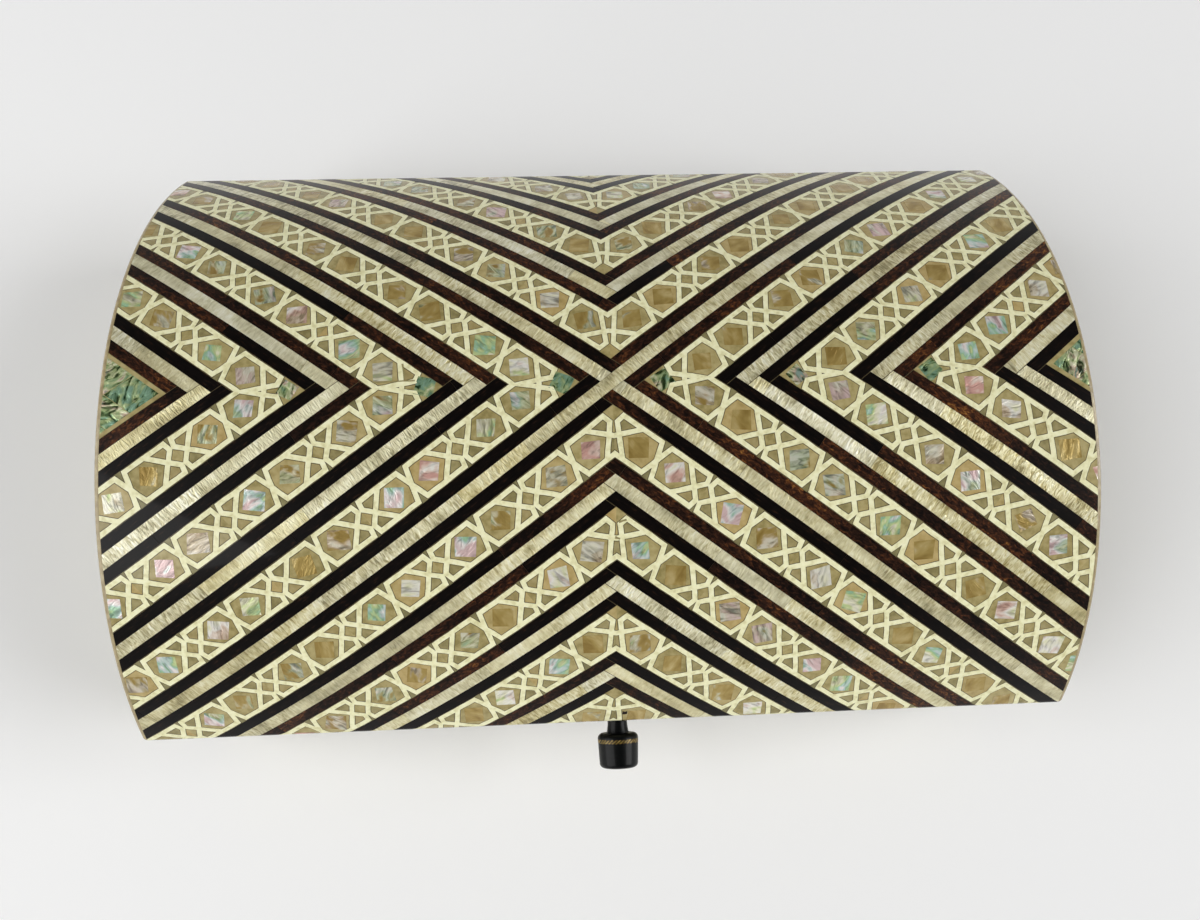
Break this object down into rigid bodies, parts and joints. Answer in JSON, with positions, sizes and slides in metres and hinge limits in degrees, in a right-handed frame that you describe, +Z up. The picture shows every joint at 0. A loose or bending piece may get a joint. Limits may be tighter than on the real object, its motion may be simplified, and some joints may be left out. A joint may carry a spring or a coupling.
{
  "type": "shell box",
  "caption": "Rectangular box with a barrel-arched lift-off lid covered in shell and bone inlay, and a small turned knob at the middle of the front.",
  "frame": {"origin": "the middle of the base's underside, on the surface that the box stands on", "axes": "+X along the box to the right of the viewer who faces the knob, +Y from the front to the back, +Z up"},
  "size_m": [0.2, 0.141, 0.0643],
  "materials": {
    "wood": "satin varnish",
    "inlay": "lacquered shell, bone and resin",
    "knob": "black polish"
  },
  "bodies": {
    "root": {"lid_body": "wood", "lid_top_inlay": "inlay", "lid_front_inlay": "inlay", "lid_back_inlay": "inlay", "lid_left_inlay": "inlay", "lid_right_inlay": "inlay", "base_body": "wood", "base_front_inlay": "inlay", "base_back_inlay": "inlay", "base_left_inlay": "inlay", "base_right_inlay": "inlay", "knob": "knob"}
  },
  "joints": []
}
